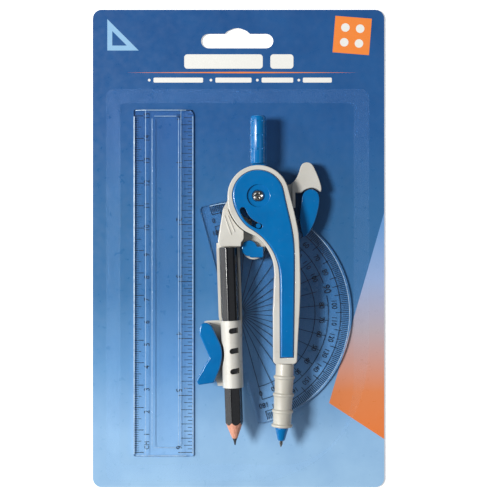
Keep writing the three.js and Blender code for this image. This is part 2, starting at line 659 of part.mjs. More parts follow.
addPiece(set, 'arm_plate', armPlate(), FINISH.white());
addPiece(set, 'arm_inlay', armInlay(), FINISH.blue());
addPiece(set, 'tail_leaf', plate(leafOutline, LEAF.z0, LEAF.z1), FINISH.blue());
addPiece(set, 'pencil_holder', pencilHolder(), FINISH.white());
addPiece(set, 'clamp_lever', clampLever(), FINISH.blue());
addPiece(set, 'clamp_pin', post(LEVER.pinX, LEVER.pinY, 1.0, 6.1, 12.4, 20), FINISH.steel());

const pencilGroup = legGroup(PENCIL);
addPiece(pencilGroup, 'pencil_casing', pencilCasing(), FINISH.paint());
addPiece(pencilGroup, 'pencil_point', pencilPoint(), FINISH.wood());
addPiece(pencilGroup, 'pencil_lead', pencilLead(), FINISH.graphite());

const needleGroup = legGroup(NEEDLE_LEG);
addPiece(needleGroup, 'grip_sleeve', gripSleeve(), FINISH.white());
addPiece(needleGroup, 'needle_chuck', needleChuck(), FINISH.brass());
addPiece(needleGroup, 'nose_cone', noseCone(), FINISH.blue());
addPiece(needleGroup, 'needle', needle(), FINISH.steel());

export default set;
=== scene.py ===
import json
import math

import bmesh
import bpy
from mathutils import Matrix, Vector


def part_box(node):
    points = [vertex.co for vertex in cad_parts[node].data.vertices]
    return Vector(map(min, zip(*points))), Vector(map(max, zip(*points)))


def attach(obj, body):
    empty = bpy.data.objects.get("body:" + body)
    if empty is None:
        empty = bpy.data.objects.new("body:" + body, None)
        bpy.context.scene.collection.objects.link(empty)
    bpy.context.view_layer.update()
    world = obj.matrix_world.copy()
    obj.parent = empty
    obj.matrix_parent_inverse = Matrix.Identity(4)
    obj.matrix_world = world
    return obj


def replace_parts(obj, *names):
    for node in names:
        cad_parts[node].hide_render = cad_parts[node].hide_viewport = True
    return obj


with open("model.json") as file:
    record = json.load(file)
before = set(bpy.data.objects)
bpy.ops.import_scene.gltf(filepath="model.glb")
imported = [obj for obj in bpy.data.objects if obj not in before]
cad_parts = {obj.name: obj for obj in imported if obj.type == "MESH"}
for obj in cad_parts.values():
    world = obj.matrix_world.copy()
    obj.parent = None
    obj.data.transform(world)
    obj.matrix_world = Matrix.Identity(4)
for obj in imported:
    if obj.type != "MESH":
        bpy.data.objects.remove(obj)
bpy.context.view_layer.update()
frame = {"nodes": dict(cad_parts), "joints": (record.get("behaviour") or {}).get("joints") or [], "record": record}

MM = 0.001
NODES = frame["nodes"]
JOINTS = {joint["name"]: joint for joint in frame["joints"]}
NODE_BODY = {node: body for body, nodes in frame["record"]["behaviour"]["bodies"].items() for node in nodes}
NODE_SLOT = {row["node"]: row["material_slot"] for row in frame["record"]["subparts"]}


def low(node):
    """The lowest corner of a CAD node, in millimetres."""
    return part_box(node)[0] / MM


def high(node):
    """The highest corner of a CAD node, in millimetres."""
    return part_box(node)[1] / MM


def middle(node):
    """The middle of a CAD node's box, in millimetres."""
    return (low(node) + high(node)) / 2


# Lengths are in millimetres up to the stage, and MM turns them into the frame's metres.
CARD_TOP = high("backing_card").z
WING_TOP = 8.4  # the top of the arm's wing
BOSS_TOP = 12.6  # the top of the arm's boss
PENCIL_TURN = math.radians(17)  # the hexagon's turn about the pencil's axis
WEDGE_FOOT = -85.0  # where the printed wedge's colours begin, in Y
WEDGE_HEAD = 10.0  # where they end
INK_THICKNESS = 0.02
INK_GAP = 0.01  # between a face and the ink on it, so that the two never share a plane
WALL = 0.3  # a face is upright if its normal has less Z than this, up or down
FLAT = 0.9  # and level if its normal has more Z than this


# ---------------------------------------------------------------- materials
MIX_FACTOR, MIX_FIRST, MIX_SECOND, MIX_RESULT = 0, 6, 7, 2  # the sockets of a colour mix node


def linear(*channels):
    """A linear colour, with full alpha, from 0 to 255 display values."""
    shares = [channel / 255 for channel in channels]
    return (*[c / 12.92 if c <= 0.04045 else ((c + 0.055) / 1.055) ** 2.4 for c in shares], 1.0)


def darker(color, share):
    """A colour with only a share of its light, and full alpha."""
    return (*[c * share for c in color[:3]], 1)


class Material:
    """A node material around one Principled shader, with short calls that add and link nodes."""

    def __init__(self, name, **settings):
        self.data = bpy.data.materials.new(name)
        self.data.use_nodes = True
        self.tree = self.data.node_tree
        self.shader = self.tree.nodes["Principled BSDF"]
        for socket, value in settings.items():
            self.shader.inputs[socket.replace("_", " ")].default_value = value
        self.place = self.add("ShaderNodeTexCoord").outputs["Object"]

    def add(self, kind, **settings):
        node = self.tree.nodes.new(kind)
        for name, value in settings.items():
            setattr(node, name, value)
        return node

    def link(self, source, target):
        self.tree.links.new(source, target)

    def noise(self, scale, detail, stretch=(1, 1, 1)):
        """Noise over the object's own place. The scale is in features per metre."""
        mapping = self.add("ShaderNodeMapping")
        mapping.inputs["Scale"].default_value = stretch
        self.link(self.place, mapping.inputs["Vector"])
        node = self.add("ShaderNodeTexNoise")
        node.inputs["Scale"].default_value = scale
        node.inputs["Detail"].default_value = detail
        node.inputs["Roughness"].default_value = 0.55
        self.link(mapping.outputs["Vector"], node.inputs["Vector"])
        return node.outputs["Fac"]

    def spread(self, value, low_out, high_out, low_in=0.3, high_in=0.7):
        """The value carried from one range to another, and held at the ends."""
        node = self.add("ShaderNodeMapRange")
        self.link(value, node.inputs["Value"])
        for name, number in (
            ("From Min", low_in), ("From Max", high_in), ("To Min", low_out), ("To Max", high_out),
        ):
            node.inputs[name].default_value = number
        return node.outputs["Result"]

    def axis(self, name):
        """One of X, Y and Z of the object's own place, in metres."""
        node = self.add("ShaderNodeSeparateXYZ")
        self.link(self.place, node.inputs["Vector"])
        return node.outputs[name]

    def math(self, operation, first, second):
        node = self.add("ShaderNodeMath", operation=operation)
        for socket, value in zip(node.inputs, (first, second)):
            if isinstance(value, (int, float)):
                socket.default_value = value
            else:
                self.link(value, socket)
        return node.outputs["Value"]

    def ramp(self, factor, stops):
        """A colour ramp from a list of (position, colour)."""
        node = self.add("ShaderNodeValToRGB")
        elements = node.color_ramp.elements
        while len(elements) < len(stops):
            elements.new(0.5)
        for element, (position, color) in zip(elements, stops):
            element.position = position
            element.color = color
        self.link(factor, node.inputs["Fac"])
        return node.outputs["Color"]

    def blend(self, factor, first, second):
        """Two colours, each a socket or a plain colour, mixed by a factor."""
        node = self.add("ShaderNodeMix", data_type="RGBA")
        for index, value in ((MIX_FACTOR, factor), (MIX_FIRST, first), (MIX_SECOND, second)):
            if isinstance(value, bpy.types.NodeSocket):
                self.link(value, node.inputs[index])
            else:
                node.inputs[index].default_value = value
        return node.outputs[MIX_RESULT]

    def color(self, socket):
        self.link(socket, self.shader.inputs["Base Color"])

    def roughness(self, socket):
        self.link(socket, self.shader.inputs["Roughness"])

    def bump(self, height, distance_mm, strength):
        node = self.add("ShaderNodeBump")
        node.inputs["Strength"].default_value = strength
        node.inputs["Distance"].default_value = distance_mm * MM
        self.link(height, node.inputs["Height"])
        self.link(node.outputs["Normal"], self.shader.inputs["Normal"])


def moulded_plastic(name, color, dark, gloss, coat, subsurface=0.0):
    """Injection-moulded plastic: faint flow marks in the colour, uneven gloss and a fine ripple."""
    m = Material(name, Coat_Weight=coat, Coat_Roughness=0.08, IOR=1.5, Subsurface_Weight=subsurface)
    m.shader.inputs["Subsurface Radius"].default_value = (0.9 * MM, 0.7 * MM, 0.5 * MM)
    m.shader.inputs["Subsurface Scale"].default_value = 1.0
    m.color(m.blend(m.spread(m.noise(90, 4), 0.0, 1.0), color, dark))
    m.roughness(m.spread(m.noise(420, 3), gloss - 0.05, gloss + 0.08))
    m.bump(m.noise(1500, 2), 0.012, 0.5)
    return m.data


def clear_plastic(name, tint, roughness, ior, straight):
    """Clear moulded plastic. Shadow and diffuse rays pass straight through it, and so does a share of the
    others, unbent. The rest is refracted."""
    m = Material(name, Transmission_Weight=1.0, IOR=ior)
    m.shader.inputs["Base Color"].default_value = tint
    m.roughness(m.spread(m.noise(160, 3), roughness, roughness + 0.03))
    m.bump(m.noise(220, 2), 0.02, 0.25)
    clear = m.add("ShaderNodeBsdfTransparent")
    clear.inputs["Color"].default_value = tint
    mix = m.add("ShaderNodeMixShader")
    path = m.add("ShaderNodeLightPath")
    always = m.math("MAXIMUM", path.outputs["Is Shadow Ray"], path.outputs["Is Diffuse Ray"])
    m.link(m.math("MAXIMUM", always, straight), mix.inputs["Fac"])
    m.link(m.shader.outputs["BSDF"], mix.inputs[1])
    m.link(clear.outputs["BSDF"], mix.inputs[2])
    m.link(mix.outputs["Shader"], m.tree.nodes["Material Output"].inputs["Surface"])
    return m.data


def cloudy_plastic():
    """Painted highlight for the edges of the clear pieces: a light blue that stands in for the light running
    inside them and brightening their edges, made uneven by a noise that also gives fine scuffs in roughness and
    bump.
    """
    m = Material("painted_edge_highlight", Coat_Weight=0.3, IOR=1.5)
    highlight_and_scuff = m.noise(700, 4)
    # light blue painted highlight, brighter and darker in patches along the edge
    m.color(m.blend(m.spread(highlight_and_scuff, 0, 1), linear(196, 222, 242), linear(128, 168, 208)))
    m.roughness(m.spread(highlight_and_scuff, 0.2, 0.4))
    m.bump(highlight_and_scuff, 0.01, 0.4)
    return m.data


def printed_card():
    """Gloss-coated white board, printed dark blue at the top and fading to light blue at the foot."""
    m = Material("printed_card", Coat_Weight=0.35, Coat_Roughness=0.12, IOR=1.5)
    bottom, top = low("backing_card").y * MM, high("backing_card").y * MM
    print_color = m.ramp(m.spread(m.axis("Y"), 0.0, 1.0, bottom, top), [
        (0.00, linear(166, 205, 236)),
        (0.12, linear(152, 194, 231)),
        (0.25, linear(107, 159, 206)),
        (0.41, linear(60, 116, 165)),
        (0.58, linear(51, 106, 156)),
        (0.75, linear(37, 90, 148)),
        (1.00, linear(32, 82, 141)),
    ])
    mottle = m.blend(m.spread(m.noise(55, 5), 0.0, 0.2), print_color, linear(62, 122, 184))
    fibres = m.spread(m.noise(2600, 3, stretch=(1, 1, 6)), 0, 1)
    board = m.blend(fibres, linear(226, 224, 218), linear(196, 193, 186))
    print_depth = 0.03
    front = m.math("GREATER_THAN", m.axis("Z"), (CARD_TOP - print_depth) * MM)
    m.color(m.blend(front, board, mottle))
    m.roughness(m.spread(m.noise(300, 3), 0.26, 0.4))
    m.bump(m.noise(700, 3), 0.01, 0.4)
    return m.data


def print_ink(name, color):
    """Flat ink of one colour, slightly uneven."""
    m = Material(name, IOR=1.45)
    m.color(m.blend(m.spread(m.noise(1800, 3), 0.0, 0.25), color, darker(color, 0.75)))
    m.roughness(m.spread(m.noise(600, 2), 0.32, 0.48))
    return m.data


def wedge_ink():
    """Orange print that fades to lilac towards its upper end."""
    m = Material("wedge_ink", Coat_Weight=0.35, Coat_Roughness=0.12, IOR=1.5)
    m.color(m.ramp(m.spread(m.axis("Y"), 0, 1, WEDGE_FOOT * MM, WEDGE_HEAD * MM), [
        (0.00, linear(238, 128, 62)),
        (0.22, linear(230, 136, 82)),
        (0.51, linear(190, 174, 180)),
        (0.75, linear(158, 180, 220)),
        (1.00, linear(112, 160, 214)),
    ]))
    m.roughness(m.spread(m.noise(300, 3), 0.26, 0.4))
    return m.data


def turned_metal(name, color, gloss, axis_stretch):
    """Machined metal with fine turning marks."""
    m = Material(name, Metallic=1.0)
    m.color(m.blend(m.spread(m.noise(500, 4), 0, 1), color, darker(color, 0.72)))
    m.roughness(m.spread(m.noise(900, 3, stretch=axis_stretch), gloss - 0.06, gloss + 0.12))
    m.bump(m.noise(2500, 2, stretch=axis_stretch), 0.01, 0.5)
    return m.data


def lacquered_pencil():
    """Glossy black lacquer that shows a trace of the wood's grain."""
    m = Material("black_lacquer", Coat_Weight=0.6, Coat_Roughness=0.06, IOR=1.5)
    grain = m.noise(900, 4, stretch=(1, 0.06, 1))
    m.color(m.blend(m.spread(grain, 0, 1), linear(9, 10, 14), linear(18, 20, 26)))
    m.roughness(m.spread(grain, 0.2, 0.34))
    m.bump(grain, 0.02, 0.5)
    return m.data


def sharpened_wood():
    """Freshly cut cedar with grain along the pencil and faint sharpener marks across it."""
    m = Material("sharpened_wood", IOR=1.45)
    grain = m.noise(1400, 5, stretch=(1, 0.08, 1))
    m.color(m.ramp(m.spread(grain, 0, 1, 0.25, 0.75), [
        (0.0, linear(182, 118, 92)), (0.5, linear(222, 156, 130)), (1.0, linear(236, 182, 158)),
    ]))
    m.roughness(m.spread(grain, 0.55, 0.8))
    m.bump(m.noise(2200, 3, stretch=(0.3, 1, 0.3)), 0.04, 0.6)
    return m.data


def graphite():
    """Dark grey pencil lead with a dull shine."""
    m = Material("graphite", Metallic=0.35, IOR=1.8)
    speckle = m.noise(3000, 4)
    m.color(m.blend(m.spread(speckle, 0, 1), linear(38, 40, 45), linear(78, 80, 86)))
    m.roughness(m.spread(speckle, 0.38, 0.6))
    m.bump(speckle, 0.02, 0.6)
    return m.data


BLUE = moulded_plastic("blue_plastic", linear(0, 113, 180), linear(0, 104, 169), 0.2, 0.3)
WHITE = moulded_plastic("white_plastic", linear(216, 213, 204), linear(206, 202, 192), 0.3, 0.25, 0.1)
GRIP = moulded_plastic("grip_plastic", linear(206, 202, 190), linear(194, 189, 176), 0.4, 0.1, 0.1)
CLEAR = clear_plastic("clear_plastic", (0.95, 0.975, 1.0, 1), 0.02, 1.5, 0.6)
FILM = clear_plastic("film", (0.99, 0.995, 1.0, 1), 0.03, 1.4, 0.4)
# painted highlight colour for the edges and walls of the clear pieces
EDGE = cloudy_plastic()
STEEL = turned_metal("plated_steel", (0.62, 0.61, 0.59, 1), 0.24, (1, 1, 1))
BRASS = turned_metal("brass", (0.66, 0.47, 0.2, 1), 0.28, (0.2, 1, 0.2))
CARD = printed_card()
LACQUER = lacquered_pencil()
WOOD = sharpened_wood()
LEAD = graphite()
INK_BLACK = print_ink("scale_ink", linear(6, 10, 24))
INK_WHITE = print_ink("white_ink", linear(248, 246, 238))
INK_ORANGE = print_ink("orange_ink", linear(255, 144, 64))
INK_PALE = print_ink("pale_blue_ink", linear(150, 196, 230))
INK_WEDGE = wedge_ink()
SLOT_MATERIAL = {
    "card": CARD, "film": FILM, "clear_plastic": CLEAR, "white_plastic": WHITE, "soft_white": GRIP,
    "blue_plastic": BLUE, "steel": STEEL, "brass": BRASS, "black_paint": LACQUER, "bare_wood": WOOD,
    "graphite": LEAD,
}


# ---------------------------------------------------------------- making pieces
def add_piece(name, bm, material, body, smooth_angle=35, weighted=False):
    """A new mesh piece from a bmesh in metres, shaded smooth except at sharp edges, riding on a body."""
    mesh = bpy.data.meshes.new(name)
    bmesh.ops.recalc_face_normals(bm, faces=bm.faces)
    bm.to_mesh(mesh)
    bm.free()
    for polygon in mesh.polygons:
        polygon.use_smooth = True
    mesh.set_sharp_from_angle(angle=math.radians(smooth_angle))
    piece = bpy.data.objects.new(name, mesh)
    bpy.context.scene.collection.objects.link(piece)
    mesh.materials.append(material)
    if weighted:
        modifier = piece.modifiers.new("even_shading", "WEIGHTED_NORMAL")
        modifier.keep_sharp = True
    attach(piece, body)
    return piece


def paint_node(node):
    """Gives a carried-over CAD node its slot's material."""
    mesh = NODES[node].data
    mesh.materials.clear()
    mesh.materials.append(SLOT_MATERIAL[NODE_SLOT[node]])


def cad_bmesh(node):
    """A copy of a CAD node's mesh, with its flat faces whole again."""
    bm = bmesh.new()
    bm.from_mesh(NODES[node].data)
    bmesh.ops.remove_doubles(bm, verts=bm.verts, dist=0.002 * MM)
    bmesh.ops.dissolve_limit(bm, angle_limit=math.radians(0.6), verts=bm.verts, edges=bm.edges)
    return bm


def level_loops(bm, z):
    """The convex edges round the level faces at a height, in connected groups, the longest group first.
    Each group is followed from its lowest-numbered edge, so the edges are numbered anew first."""
    bm.edges.index_update()

    def wanted(edge):
        if len(edge.link_faces) != 2 or any(abs(v.co.z / MM - z) > 0.02 for v in edge.verts):
            return False
        slopes = sorted(abs(face.normal.z) for face in edge.link_faces)
        return slopes[0] < WALL and slopes[1] > FLAT and edge.is_convex

    left = {edge for edge in bm.edges if wanted(edge)}
    groups = []
    while left:
        group, todo = [], [min(left, key=lambda e: e.index)]
        left.discard(todo[0])
        while todo:
            edge = todo.pop()
            group.append(edge)
            for vert in edge.verts:
                for other in vert.link_edges:
                    if other in left:
                        left.discard(other)
                        todo.append(other)
        groups.append(group)
    return sorted(groups, key=lambda group: -sum(edge.calc_length() for edge in group))


def round_over(bm, edges, radius, steps):
    """Rounds edges off to a radius."""
    bmesh.ops.bevel(
        bm, geom=edges, offset=radius * MM, offset_type="OFFSET", segments=steps, profile=0.5,
        affect="EDGES", clamp_overlap=False,
    )


def refine(node, levels, steps=4):
    """A piece that stands for a CAD node, with rounded edges. Each level is a height, the radius for the
    longest loop of edges there and the radius for the others, or 0 to leave them sharp."""
    bm = cad_bmesh(node)
    for z, outer, inner in levels:
        loops = level_loops(bm, z)
        round_over(bm, loops[0], outer, steps)
        if inner and len(loops) > 1:
            round_over(bm, [e for group in level_loops(bm, z) for e in group], inner, 2)
    slot = NODE_SLOT[node]
    piece = add_piece(node + "_fine", bm, SLOT_MATERIAL[slot], NODE_BODY[node], weighted=True)
    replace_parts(piece, node)
    return piece


def frost_walls(piece):
    """Gives the upright walls of a clear piece the painted edge highlight material."""
    piece.data.materials.append(EDGE)
    for polygon in piece.data.polygons:
        # upright walls take the painted edge highlight
        if abs(polygon.normal.z) < WALL:
            polygon.material_index = 1


def prism(bm, points, z0, z1):
    """Adds a closed prism over an outline in millimetres. Each height is a number or one per point."""
    count = len(points)
    lows = z0 if isinstance(z0, list) else [z0] * count
    highs = z1 if isinstance(z1, list) else [z1] * count
    base = [bm.verts.new((x * MM, y * MM, z * MM)) for (x, y), z in zip(points, lows)]
    top = [bm.verts.new((x * MM, y * MM, z * MM)) for (x, y), z in zip(points, highs)]
    bm.faces.new(list(reversed(base)))
    bm.faces.new(top)
    for i in range(count):
        j = (i + 1) % count
        bm.faces.new((base[i], base[j], top[j], top[i]))


def rectangle(x, y, width, height, turn=0.0):
    """The four corners of a rectangle about its middle, turned by an angle in degrees."""
    angle = math.radians(turn)
    along, across = Vector((math.cos(angle), math.sin(angle))), Vector((-math.sin(angle), math.cos(angle)))
    corners = [(-1, -1), (1, -1), (1, 1), (-1, 1)]
    return [tuple(Vector((x, y)) + along * (width / 2 * a) + across * (height / 2 * b)) for a, b in corners]


def disc(x, y, radius, steps):
    """The points of a circle, as a polygon."""
    turns = [2 * math.pi * i / steps for i in range(steps)]
    return [(x + radius * math.cos(t), y + radius * math.sin(t)) for t in turns]


def ring_of(bm, points, hole, z0, z1):
    """Adds a closed frame between an outline and a hole with the same number of points."""
    count = len(points)
    rings = [
        [bm.verts.new((x * MM, y * MM, z * MM)) for x, y in outline]
        for outline, z in ((points, z0), (points, z1), (hole, z1), (hole, z0))
    ]
    for k in range(4):
        for i in range(count):
            j = (i + 1) % count
            a, b = rings[k], rings[(k + 1) % 4]
            bm.faces.new((a[i], a[j], b[j], b[i]))


def revolve(bm, profile, steps, place):
    """Adds a turned solid about the Y axis of a place matrix. The profile lists (radius, height) in mm."""
    turns = [2 * math.pi * i / steps for i in range(steps)]
    rings = []
    for radius, height in profile:
        if radius == 0:
            rings.append([bm.verts.new(place @ Vector((0, height * MM, 0)))])
            continue
        rings.append([
            bm.verts.new(place @ Vector((radius * MM * math.cos(t), height * MM, radius * MM * math.sin(t))))
            for t in turns
        ])
    for a, b in zip(rings, rings[1:]):
        for i in range(steps):
            j = (i + 1) % steps
            if len(a) == 1:
                bm.faces.new((a[0], b[j], b[i]))
            elif len(b) == 1:
                bm.faces.new((a[i], a[j], b[0]))
            else:
                bm.faces.new((a[i], a[j], b[j], b[i]))


def eased(profile, reach):
    """A profile with its corners rounded over a reach, apart from its two ends. No corner takes more than
    45% of the line beside it."""
    steps, most = 4, 0.45
    points = [Vector(point) for point in profile]
    result = [points[0]]
    for before, corner, after in zip(points, points[1:], points[2:]):
        start = corner + (before - corner) * min(most, reach / (before - corner).length)
        end = corner + (after - corner) * min(most, reach / (after - corner).length)
        for i in range(steps + 1):
            t = i / steps
            result.append(start * (1 - t) ** 2 + corner * (2 * t * (1 - t)) + end * t ** 2)
    return [tuple(point) for point in result + [points[-1]]]


def turned_ring(profile, reach, steps, place):
    """A turned solid with a hole through it. Its profile is closed, and its corners are eased."""
    bm = bmesh.new()
    revolve(bm, eased(profile, reach), steps, place)
    bmesh.ops.remove_doubles(bm, verts=bm.verts, dist=0.001 * MM)
    return bm


def cut(body, tool):
    """The first solid less the second, both bmeshes in metres, which are used up."""
    holders = []
    for bm in (body, tool):
        mesh = bpy.data.meshes.new("cut")
        bmesh.ops.recalc_face_normals(bm, faces=bm.faces)
        bm.to_mesh(mesh)
        bm.free()
        holders.append(bpy.data.objects.new("cut", mesh))
        bpy.context.scene.collection.objects.link(holders[-1])
    modifier = holders[0].modifiers.new("cut", "BOOLEAN")
    modifier.operation = "DIFFERENCE"
    modifier.solver = "EXACT"
    modifier.object = holders[1]
    shown = holders[0].evaluated_get(bpy.context.evaluated_depsgraph_get())
    cut_mesh = bpy.data.meshes.new_from_object(shown)
    result = bmesh.new()
    result.from_mesh(cut_mesh)
    used = [cut_mesh, *[holder.data for holder in holders]]
    for holder in holders:
        bpy.data.objects.remove(holder)
    for mesh in used:
        bpy.data.meshes.remove(mesh)
    return result


GLYPHS = {}


def glyph_mesh(text, thickness):
    """The built-in font's outline of a short text as a closed mesh, 1 unit high, centred."""
    key = (text, thickness)
    if key not in GLYPHS:
        curve = bpy.data.curves.new("glyphs", "FONT")
        curve.body = text
        curve.size = 1.38  # makes a digit 1 unit high
        curve.align_x = "CENTER"
        curve.align_y = "CENTER"
        curve.extrude = thickness / 2
        curve.resolution_u = 3
        holder = bpy.data.objects.new("glyphs", curve)
        bpy.context.scene.collection.objects.link(holder)
        shown = holder.evaluated_get(bpy.context.evaluated_depsgraph_get())
        GLYPHS[key] = bpy.data.meshes.new_from_object(shown)
        bpy.data.objects.remove(holder)
        bpy.data.curves.remove(curve)
    return GLYPHS[key]


def write(bm, text, x, y, z, height, turn):
    """Adds a text of one line, centred on a place and turned by an angle in degrees."""
    narrow = 0.9
    mesh = glyph_mesh(text, INK_THICKNESS / height).copy()
    size = Matrix.Diagonal((height * MM * narrow, height * MM, height * MM, 1))
    mesh.transform(
        Matrix.Translation(Vector((x, y, z)) * MM) @ Matrix.Rotation(math.radians(turn), 4, "Z") @ size
    )
    bm.from_mesh(mesh)
    bpy.data.meshes.remove(mesh)


# ---------------------------------------------------------------- card and its print
PRINT_Z = (CARD_TOP + INK_GAP, CARD_TOP + 0.035)
SECOND_PRINT_Z = (PRINT_Z[1] + 0.005, PRINT_Z[1] + 0.02)  # ink on top of ink


def card_print(name, shapes, material):
    """Flat printed shapes on the card, as one thin closed piece."""
    bm = bmesh.new()
    for points in shapes:
        prism(bm, points, *PRINT_Z)
    return add_piece(name, bm, material, "card")


def rounded_bar(x0, x1, y, height):
    """The outline of a level bar with round corners. Y is its middle."""
    steps, r = 6, height * 0.22
    corners = [
        (x0 + r, y - height / 2 + r, 180), (x1 - r, y - height / 2 + r, 270),
        (x1 - r, y + height / 2 - r, 0), (x0 + r, y + height / 2 - r, 90),
    ]
    points = []
    for cx, cy, start in corners:
        for i in range(steps + 1):
            angle = math.radians(start + 90 * i / steps)
            points.append((cx + r * math.cos(angle), cy + r * math.sin(angle)))
    return points


def build_card():
    """The card's print: wedge, badge with four spots, set square, bars for the words, and a rule."""
    paint_node("backing_card")
    edge = high("backing_card").x - 0.02
    card_print("card_wedge", [[(40.4, -68.9), (edge, WEDGE_FOOT), (edge, WEDGE_HEAD + 6)]], INK_WEDGE)

    badge, side, turn = Vector((50.7, 95.0)), 16.3, -4.6
    card_print("card_badge", [rectangle(*badge, side, side, turn)], INK_ORANGE)
    away, spot_radius = 3.3, 1.9
    spots = bmesh.new()
    spin = Matrix.Rotation(math.radians(turn), 2)
    for dx in (-away, away):
        for dy in (-away, away):
            spot = badge + spin @ Vector((dx, dy))
            prism(spots, disc(*spot, spot_radius, 28), *SECOND_PRINT_Z)
    add_piece("card_badge_spots", spots, INK_WHITE, "card")

    corner, leg, band, inner_leg = Vector((-58.5, 88.3)), 14.0, 2.2, 6.5
    square = bmesh.new()
    outlines = [
        [tuple(start + Vector(step)) for step in ((0, 0), (reach, 0), (0, reach))]
        for start, reach in ((corner, leg), (corner + Vector((band, band)), inner_leg))
    ]
    ring_of(square, *outlines, *PRINT_Z)
    add_piece("card_set_square", square, INK_PALE, "card")

    title_y, title_height = 83.4, 6.4
    title = [rounded_bar(x0, x1, title_y, title_height) for x0, x1 in ((-24.2, 10.8), (14.2, 24.5))]
    card_print("card_title_bars", title, INK_WHITE)
    subtitle_y, subtitle_height, bullet_radius = 75.1, 2.2, 0.6
    subtitle = []
    for bullet, x0, x1 in (
        (-39.8, -37.9, -15.8), (-12.3, -10.3, 5.8), (8.4, 10.3, 24.4), (26.9, 28.7, 41.6),
    ):
        subtitle.append(disc(bullet, subtitle_y, bullet_radius, 16))
        subtitle.append(rounded_bar(x0, x1, subtitle_y, subtitle_height))
    card_print("card_subtitle_bars", subtitle, INK_WHITE)
    card_print("card_rule", [[(-50, 78.45), (1.5, 78.15), (53, 78.45), (1.5, 78.8)]], INK_ORANGE)


# ---------------------------------------------------------------- ruler
INCH = 25.4
CHANNEL_SIDES = (-38.2, -26.8)
CHANNEL_ENDS = (-88.3, 58.6)


def ruler_scale():
    """Centimetres up the left edge and inches down the right edge, printed on the underside."""
    bottom_left, top_right = low("ruler"), high("ruler")
    z1 = bottom_left.z - INK_GAP
    z0 = z1 - INK_THICKNESS
    margin, letters = 0.25, 2.1
    left, right = bottom_left.x + margin, top_right.x - margin
    zero = bottom_left.y + 1.6
    bm = bmesh.new()

    def tick(x0, x1, y, width):
        prism(bm, rectangle((x0 + x1) / 2, y, abs(x1 - x0), width), z0, z1)

    centimetre, half, millimetre = (4.3, 0.3), (3.2, 0.24), (2.0, 0.18)
    numbers_x, digits = left + 5.75, 2.5
    for mark in range(151):
        reach, width = centimetre if mark % 10 == 0 else half if mark % 5 == 0 else millimetre
        tick(left, left + reach, zero + mark, width)
    for mark in range(1, 16):
        beside = -1.9 if mark < 10 else 0
        write(bm, str(mark), numbers_x, zero + 10 * mark + beside, z0, digits, 90)
    write(bm, "CM", numbers_x, zero + 3.2, z0, letters, 90)

    numbers_x, digits = right - 6.3, 2.7
    top = zero + 6 * INCH
    long_marks = {0: 6.6, 4: 5.2, 8: 5.2, 12: 5.2}
    for mark in range(97):
        reach = long_marks.get(mark % 16, 4.0 if mark % 2 == 0 else 2.3)
        tick(right - reach, right, top - mark * INCH / 16, 0.3 if mark % 16 == 0 else 0.24)
    for mark in range(1, 7):
        write(bm, str(mark), numbers_x, top - mark * INCH + 2.2, z0, digits, -90)
    write(bm, "IN", numbers_x, top - 3.0, z0, letters, -90)
    add_piece("ruler_scale", bm, INK_BLACK, "ruler")


# ---------------------------------------------------------------- protractor
RADIUS = 50.0
CENTRE = Vector((high("protractor").x - RADIUS, high("protractor").y - RADIUS))
UPRIGHT = 15.25  # how far its 90-degree line leans from Y, in degrees


def round_spot(radius, degrees):
    """A point of the protractor by its distance from the centre and its reading on the scale."""
    angle = math.radians(UPRIGHT + 90 - degrees)
    return CENTRE + radius * Vector((math.cos(angle), math.sin(angle)))


def protractor_scale():
    """Degree ticks at the rim, two rows of numbers, three arcs and a fan of lines from the centre, printed
    on the underside."""
    z1 = low("protractor").z - INK_GAP
    z0 = z1 - INK_THICKNESS
    bm = bmesh.new()

    def ray(inner, outer, degrees, width):
        where = round_spot((inner + outer) / 2, degrees)
        prism(bm, rectangle(*where, outer - inner, width, UPRIGHT + 90 - degrees), z0, z1)

    def arc(radius, width, start=0, end=180):
        steps = 90
        turns = [start + (end - start) * i / steps for i in range(steps + 1)]
        outer = [tuple(round_spot(radius + width / 2, d)) for d in turns]
        inner = [tuple(round_spot(radius - width / 2, d)) for d in reversed(turns)]
        prism(bm, list(reversed(outer + inner)), z0, z1)

    hub, inner_arc, middle_arc, outer_arc = 2.5, 34.0, 39.9, 45.4
    fan_line, thin_line, rim_line = 0.22, 0.24, 0.26
    ticks_end, short_tick, marks_from, digits = RADIUS - 0.7, 46.2, 43.2, 2.3
    for degrees in range(181):
        ray(outer_arc if degrees % 5 == 0 else short_tick, ticks_end, degrees, rim_line)
    arc(inner_arc, thin_line)
    arc(middle_arc, thin_line, 0, 86)
    arc(middle_arc, thin_line, 94, 180)
    arc(outer_arc, rim_line)
    for degrees in range(0, 181, 10):
        turn = UPRIGHT - degrees
        if degrees == 90:
            ray(hub, 36.0, degrees, fan_line)
            ray(marks_from, outer_arc, degrees, thin_line)
            write(bm, "90", *round_spot(40.5, degrees), z0, 3.2, turn)
            continue
        ray(hub, middle_arc, degrees, fan_line)
        write(bm, str(degrees), *round_spot(42.5, degrees), z0, digits, turn)
        write(bm, str(180 - degrees), *round_spot(37.0, degrees), z0, digits, turn)
    for degrees in range(5, 180, 10):
        ray(marks_from, outer_arc, degrees, thin_line)
    add_piece("protractor_scale", bm, INK_BLACK, "protractor")


